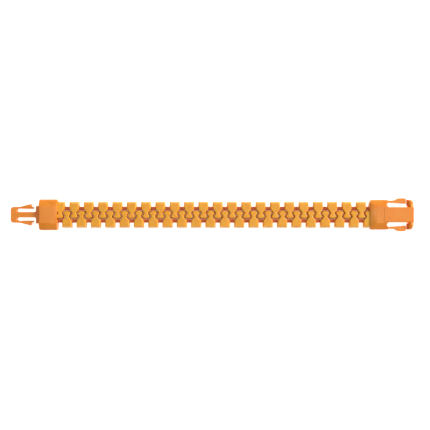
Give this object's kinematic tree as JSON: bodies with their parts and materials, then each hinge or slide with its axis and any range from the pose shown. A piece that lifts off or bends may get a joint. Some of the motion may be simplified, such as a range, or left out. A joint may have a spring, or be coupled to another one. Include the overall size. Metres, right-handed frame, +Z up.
{
  "type": "toothed strap with side-release clasp",
  "caption": "Flat strap of interlocking moulded teeth threaded on two elastic cords, with a barbed plug at one end and a side-release socket at the other.",
  "frame": {"origin": "centre of the bounding box at the underside of the clasp, with the strap laid out straight", "axes": "+X along the strap from the plug to the socket, +Y across it towards the row of teeth that starts in the plug, +Z up, normal to the strap's flat side"},
  "size_m": [0.2104, 0.0174, 0.008],
  "materials": {
    "tooth_plastic": "satin moulded orange plastic with a fine grain",
    "clasp_plastic": "smooth satin orange plastic, slightly redder than the teeth",
    "cord_elastic": "round salmon-orange elastic cord",
    "stop_plastic": "hidden moulded cord stops"
  },
  "bodies": {
    "plug_clip": {"plug_base": "clasp_plastic", "plug_cover": "clasp_plastic", "plug_cord_stops": "stop_plastic", "tooth_upper_01": "tooth_plastic"},
    "tooth_lower_01_body": {"tooth_lower_01": "tooth_plastic"},
    "tooth_upper_02_body": {"tooth_upper_02": "tooth_plastic"},
    "tooth_lower_02_body": {"tooth_lower_02": "tooth_plastic"},
    "tooth_upper_03_body": {"tooth_upper_03": "tooth_plastic"},
    "tooth_lower_03_body": {"tooth_lower_03": "tooth_plastic"},
    "tooth_upper_04_body": {"tooth_upper_04": "tooth_plastic"},
    "tooth_lower_04_body": {"tooth_lower_04": "tooth_plastic"},
    "tooth_upper_05_body": {"tooth_upper_05": "tooth_plastic"},
    "tooth_lower_05_body": {"tooth_lower_05": "tooth_plastic"},
    "tooth_upper_06_body": {"tooth_upper_06": "tooth_plastic"},
    "tooth_lower_06_body": {"tooth_lower_06": "tooth_plastic"},
    "tooth_upper_07_body": {"tooth_upper_07": "tooth_plastic"},
    "tooth_lower_07_body": {"tooth_lower_07": "tooth_plastic"},
    "tooth_upper_08_body": {"tooth_upper_08": "tooth_plastic"},
    "tooth_lower_08_body": {"tooth_lower_08": "tooth_plastic"},
    "tooth_upper_09_body": {"tooth_upper_09": "tooth_plastic"},
    "tooth_lower_09_body": {"tooth_lower_09": "tooth_plastic"},
    "tooth_upper_10_body": {"tooth_upper_10": "tooth_plastic"},
    "tooth_lower_10_body": {"tooth_lower_10": "tooth_plastic"},
    "tooth_upper_11_body": {"tooth_upper_11": "tooth_plastic"},
    "tooth_lower_11_body": {"tooth_lower_11": "tooth_plastic", "upper_cord": "cord_elastic", "lower_cord": "cord_elastic"},
    "tooth_upper_12_body": {"tooth_upper_12": "tooth_plastic"},
    "tooth_lower_12_body": {"tooth_lower_12": "tooth_plastic"},
    "tooth_upper_13_body": {"tooth_upper_13": "tooth_plastic"},
    "tooth_lower_13_body": {"tooth_lower_13": "tooth_plastic"},
    "tooth_upper_14_body": {"tooth_upper_14": "tooth_plastic"},
    "tooth_lower_14_body": {"tooth_lower_14": "tooth_plastic"},
    "tooth_upper_15_body": {"tooth_upper_15": "tooth_plastic"},
    "tooth_lower_15_body": {"tooth_lower_15": "tooth_plastic"},
    "tooth_upper_16_body": {"tooth_upper_16": "tooth_plastic"},
    "tooth_lower_16_body": {"tooth_lower_16": "tooth_plastic"},
    "tooth_upper_17_body": {"tooth_upper_17": "tooth_plastic"},
    "tooth_lower_17_body": {"tooth_lower_17": "tooth_plastic"},
    "tooth_upper_18_body": {"tooth_upper_18": "tooth_plastic"},
    "tooth_lower_18_body": {"tooth_lower_18": "tooth_plastic"},
    "tooth_upper_19_body": {"tooth_upper_19": "tooth_plastic"},
    "tooth_lower_19_body": {"tooth_lower_19": "tooth_plastic"},
    "tooth_upper_20_body": {"tooth_upper_20": "tooth_plastic"},
    "tooth_lower_20_body": {"tooth_lower_20": "tooth_plastic"},
    "tooth_upper_21_body": {"tooth_upper_21": "tooth_plastic"},
    "tooth_lower_21_body": {"tooth_lower_21": "tooth_plastic"},
    "tooth_upper_22_body": {"tooth_upper_22": "tooth_plastic"},
    "socket_clip": {"socket_base": "clasp_plastic", "socket_cover": "clasp_plastic", "socket_cord_stops": "stop_plastic", "tooth_lower_22": "tooth_plastic"},
    "arm_upper": {"plug_arm_upper": "clasp_plastic"},
    "arm_lower": {"plug_arm_lower": "clasp_plastic"},
    "lever_upper": {"release_lever_upper": "clasp_plastic"},
    "lever_lower": {"release_lever_lower": "clasp_plastic"}
  },
  "joints": [
    {"name": "clasp_arm_lower", "type": "hinge", "parent": "plug_clip", "child": "arm_lower", "pos_m": [-0.1019, -0.0037, 0.004], "axis": [0, 0, 1], "range_deg": [0, 8.5], "stiffness_Nm_per_rad": 0.05},
    {"name": "clasp_arm_upper", "type": "hinge", "parent": "plug_clip", "child": "arm_upper", "pos_m": [-0.1019, 0.0037, 0.004], "axis": [0, 0, -1], "range_deg": [0, 8.5], "stiffness_Nm_per_rad": 0.05},
    {"name": "clasp_lever_lower", "type": "hinge", "parent": "socket_clip", "child": "lever_lower", "pos_m": [0.0909, -0.0069, 0.004], "axis": [0, 0, 1], "range_deg": [0, 6], "stiffness_Nm_per_rad": 0.05},
    {"name": "clasp_lever_upper", "type": "hinge", "parent": "socket_clip", "child": "lever_upper", "pos_m": [0.0909, 0.0069, 0.004], "axis": [0, 0, -1], "range_deg": [0, 6], "stiffness_Nm_per_rad": 0.05},
    {"name": "link_01", "type": "hinge", "parent": "plug_clip", "child": "tooth_lower_01_body", "pos_m": [-0.07773, 0, 0.004], "axis": [0, -1, 0], "range_deg": [-11.03, 11.03], "deforming": ["upper_cord", "lower_cord"]},
    {"name": "link_02", "type": "hinge", "parent": "tooth_lower_01_body", "child": "tooth_upper_02_body", "pos_m": [-0.07397, 0, 0.004], "axis": [0, -1, 0], "range_deg": [-11.03, 11.03], "deforming": ["upper_cord", "lower_cord"]},
    {"name": "link_03", "type": "hinge", "parent": "tooth_upper_02_body", "child": "tooth_lower_02_body", "pos_m": [-0.07022, 0, 0.004], "axis": [0, -1, 0], "range_deg": [-11.03, 11.03], "deforming": ["upper_cord", "lower_cord"]},
    {"name": "link_04", "type": "hinge", "parent": "tooth_lower_02_body", "child": "tooth_upper_03_body", "pos_m": [-0.06648, 0, 0.004], "axis": [0, -1, 0], "range_deg": [-11.03, 11.03], "deforming": ["upper_cord", "lower_cord"]},
    {"name": "link_05", "type": "hinge", "parent": "tooth_upper_03_body", "child": "tooth_lower_03_body", "pos_m": [-0.06273, 0, 0.004], "axis": [0, -1, 0], "range_deg": [-11.03, 11.03], "deforming": ["upper_cord", "lower_cord"]},
    {"name": "link_06", "type": "hinge", "parent": "tooth_lower_03_body", "child": "tooth_upper_04_body", "pos_m": [-0.05897, 0, 0.004], "axis": [0, -1, 0], "range_deg": [-11.03, 11.03], "deforming": ["upper_cord", "lower_cord"]},
    {"name": "link_07", "type": "hinge", "parent": "tooth_upper_04_body", "child": "tooth_lower_04_body", "pos_m": [-0.05523, 0, 0.004], "axis": [0, -1, 0], "range_deg": [-11.03, 11.03], "deforming": ["upper_cord", "lower_cord"]},
    {"name": "link_08", "type": "hinge", "parent": "tooth_lower_04_body", "child": "tooth_upper_05_body", "pos_m": [-0.05147, 0, 0.004], "axis": [0, -1, 0], "range_deg": [-11.03, 11.03], "deforming": ["upper_cord", "lower_cord"]},
    {"name": "link_09", "type": "hinge", "parent": "tooth_upper_05_body", "child": "tooth_lower_05_body", "pos_m": [-0.04772, 0, 0.004], "axis": [0, -1, 0], "range_deg": [-11.03, 11.03], "deforming": ["upper_cord", "lower_cord"]},
    {"name": "link_10", "type": "hinge", "parent": "tooth_lower_05_body", "child": "tooth_upper_06_body", "pos_m": [-0.04398, 0, 0.004], "axis": [0, -1, 0], "range_deg": [-11.03, 11.03], "deforming": ["upper_cord", "lower_cord"]},
    {"name": "link_11", "type": "hinge", "parent": "tooth_upper_06_body", "child": "tooth_lower_06_body", "pos_m": [-0.04022, 0, 0.004], "axis": [0, -1, 0], "range_deg": [-11.03, 11.03], "deforming": ["upper_cord", "lower_cord"]},
    {"name": "link_12", "type": "hinge", "parent": "tooth_lower_06_body", "child": "tooth_upper_07_body", "pos_m": [-0.03648, 0, 0.004], "axis": [0, -1, 0], "range_deg": [-11.03, 11.03], "deforming": ["upper_cord", "lower_cord"]},
    {"name": "link_13", "type": "hinge", "parent": "tooth_upper_07_body", "child": "tooth_lower_07_body", "pos_m": [-0.03272, 0, 0.004], "axis": [0, -1, 0], "range_deg": [-5.02, 5.02], "deforming": ["upper_cord", "lower_cord"]},
    {"name": "link_14", "type": "hinge", "parent": "tooth_lower_07_body", "child": "tooth_upper_08_body", "pos_m": [-0.02898, 0, 0.004], "axis": [0, -1, 0], "range_deg": [-5.02, 5.02], "deforming": ["upper_cord", "lower_cord"]},
    {"name": "link_15", "type": "hinge", "parent": "tooth_upper_08_body", "child": "tooth_lower_08_body", "pos_m": [-0.02523, 0, 0.004], "axis": [0, -1, 0], "range_deg": [-5.02, 5.02], "deforming": ["upper_cord", "lower_cord"]},
    {"name": "link_16", "type": "hinge", "parent": "tooth_lower_08_body", "child": "tooth_upper_09_body", "pos_m": [-0.02148, 0, 0.004], "axis": [0, -1, 0], "range_deg": [-5.02, 5.02], "deforming": ["upper_cord", "lower_cord"]},
    {"name": "link_17", "type": "hinge", "parent": "tooth_upper_09_body", "child": "tooth_lower_09_body", "pos_m": [-0.01773, 0, 0.004], "axis": [0, -1, 0], "range_deg": [-5.02, 5.02], "deforming": ["upper_cord", "lower_cord"]},
    {"name": "link_18", "type": "hinge", "parent": "tooth_lower_09_body", "child": "tooth_upper_10_body", "pos_m": [-0.01397, 0, 0.004], "axis": [0, -1, 0], "range_deg": [-5.02, 5.02], "deforming": ["upper_cord", "lower_cord"]},
    {"name": "link_19", "type": "hinge", "parent": "tooth_upper_10_body", "child": "tooth_lower_10_body", "pos_m": [-0.01022, 0, 0.004], "axis": [0, -1, 0], "range_deg": [-5.02, 5.02], "deforming": ["upper_cord", "lower_cord"]},
    {"name": "link_20", "type": "hinge", "parent": "tooth_lower_10_body", "child": "tooth_upper_11_body", "pos_m": [-0.00647, 0, 0.004], "axis": [0, -1, 0], "range_deg": [-5.02, 5.02], "deforming": ["upper_cord", "lower_cord"]},
    {"name": "link_21", "type": "hinge", "parent": "tooth_upper_11_body", "child": "tooth_lower_11_body", "pos_m": [-0.00272, 0, 0.004], "axis": [0, -1, 0], "range_deg": [-5.02, 5.02], "deforming": ["upper_cord", "lower_cord"]},
    {"name": "link_22", "type": "hinge", "parent": "tooth_lower_11_body", "child": "tooth_upper_12_body", "pos_m": [0.00103, 0, 0.004], "axis": [0, -1, 0], "range_deg": [-5.02, 5.02], "deforming": ["upper_cord", "lower_cord"]},
    {"name": "link_23", "type": "hinge", "parent": "tooth_upper_12_body", "child": "tooth_lower_12_body", "pos_m": [0.00477, 0, 0.004], "axis": [0, -1, 0], "range_deg": [-5.02, 5.02], "deforming": ["upper_cord", "lower_cord"]},
    {"name": "link_24", "type": "hinge", "parent": "tooth_lower_12_body", "child": "tooth_upper_13_body", "pos_m": [0.00852, 0, 0.004], "axis": [0, -1, 0], "range_deg": [-5.02, 5.02], "deforming": ["upper_cord", "lower_cord"]},
    {"name": "link_25", "type": "hinge", "parent": "tooth_upper_13_body", "child": "tooth_lower_13_body", "pos_m": [0.01227, 0, 0.004], "axis": [0, -1, 0], "range_deg": [-5.02, 5.02], "deforming": ["upper_cord", "lower_cord"]},
    {"name": "link_26", "type": "hinge", "parent": "tooth_lower_13_body", "child": "tooth_upper_14_body", "pos_m": [0.01603, 0, 0.004], "axis": [0, -1, 0], "range_deg": [-5.02, 5.02], "deforming": ["upper_cord", "lower_cord"]},
    {"name": "link_27", "type": "hinge", "parent": "tooth_upper_14_body", "child": "tooth_lower_14_body", "pos_m": [0.01978, 0, 0.004], "axis": [0, -1, 0], "range_deg": [-5.02, 5.02], "deforming": ["upper_cord", "lower_cord"]},
    {"name": "link_28", "type": "hinge", "parent": "tooth_lower_14_body", "child": "tooth_upper_15_body", "pos_m": [0.02353, 0, 0.004], "axis": [0, -1, 0], "range_deg": [-5.02, 5.02], "deforming": ["upper_cord", "lower_cord"]},
    {"name": "link_29", "type": "hinge", "parent": "tooth_upper_15_body", "child": "tooth_lower_15_body", "pos_m": [0.02728, 0, 0.004], "axis": [0, -1, 0], "range_deg": [-5.02, 5.02], "deforming": ["upper_cord", "lower_cord"]},
    {"name": "link_30", "type": "hinge", "parent": "tooth_lower_15_body", "child": "tooth_upper_16_body", "pos_m": [0.03103, 0, 0.004], "axis": [0, -1, 0], "range_deg": [-5.02, 5.02], "deforming": ["upper_cord", "lower_cord"]},
    {"name": "link_31", "type": "hinge", "parent": "tooth_upper_16_body", "child": "tooth_lower_16_body", "pos_m": [0.03478, 0, 0.004], "axis": [0, -1, 0], "range_deg": [-5.02, 5.02], "deforming": ["upper_cord", "lower_cord"]},
    {"name": "link_32", "type": "hinge", "parent": "tooth_lower_16_body", "child": "tooth_upper_17_body", "pos_m": [0.03852, 0, 0.004], "axis": [0, -1, 0], "range_deg": [-11.03, 11.03], "deforming": ["upper_cord", "lower_cord"]},
    {"name": "link_33", "type": "hinge", "parent": "tooth_upper_17_body", "child": "tooth_lower_17_body", "pos_m": [0.04228, 0, 0.004], "axis": [0, -1, 0], "range_deg": [-11.03, 11.03], "deforming": ["upper_cord", "lower_cord"]},
    {"name": "link_34", "type": "hinge", "parent": "tooth_lower_17_body", "child": "tooth_upper_18_body", "pos_m": [0.04603, 0, 0.004], "axis": [0, -1, 0], "range_deg": [-11.03, 11.03], "deforming": ["upper_cord", "lower_cord"]},
    {"name": "link_35", "type": "hinge", "parent": "tooth_upper_18_body", "child": "tooth_lower_18_body", "pos_m": [0.04977, 0, 0.004], "axis": [0, -1, 0], "range_deg": [-11.03, 11.03], "deforming": ["upper_cord", "lower_cord"]},
    {"name": "link_36", "type": "hinge", "parent": "tooth_lower_18_body", "child": "tooth_upper_19_body", "pos_m": [0.05353, 0, 0.004], "axis": [0, -1, 0], "range_deg": [-11.03, 11.03], "deforming": ["upper_cord", "lower_cord"]},
    {"name": "link_37", "type": "hinge", "parent": "tooth_upper_19_body", "child": "tooth_lower_19_body", "pos_m": [0.05727, 0, 0.004], "axis": [0, -1, 0], "range_deg": [-11.03, 11.03], "deforming": ["upper_cord", "lower_cord"]},
    {"name": "link_38", "type": "hinge", "parent": "tooth_lower_19_body", "child": "tooth_upper_20_body", "pos_m": [0.06103, 0, 0.004], "axis": [0, -1, 0], "range_deg": [-11.03, 11.03], "deforming": ["upper_cord", "lower_cord"]},
    {"name": "link_39", "type": "hinge", "parent": "tooth_upper_20_body", "child": "tooth_lower_20_body", "pos_m": [0.06477, 0, 0.004], "axis": [0, -1, 0], "range_deg": [-11.03, 11.03], "deforming": ["upper_cord", "lower_cord"]},
    {"name": "link_40", "type": "hinge", "parent": "tooth_lower_20_body", "child": "tooth_upper_21_body", "pos_m": [0.06853, 0, 0.004], "axis": [0, -1, 0], "range_deg": [-11.03, 11.03], "deforming": ["upper_cord", "lower_cord"]},
    {"name": "link_41", "type": "hinge", "parent": "tooth_upper_21_body", "child": "tooth_lower_21_body", "pos_m": [0.07228, 0, 0.004], "axis": [0, -1, 0], "range_deg": [-11.03, 11.03], "deforming": ["upper_cord", "lower_cord"]},
    {"name": "link_42", "type": "hinge", "parent": "tooth_lower_21_body", "child": "tooth_upper_22_body", "pos_m": [0.07602, 0, 0.004], "axis": [0, -1, 0], "range_deg": [-11.03, 11.03], "deforming": ["upper_cord", "lower_cord"]},
    {"name": "link_43", "type": "hinge", "parent": "tooth_upper_22_body", "child": "socket_clip", "pos_m": [0.07977, 0, 0.004], "axis": [0, -1, 0], "range_deg": [-11.03, 11.03], "deforming": ["upper_cord", "lower_cord"]}
  ]
}
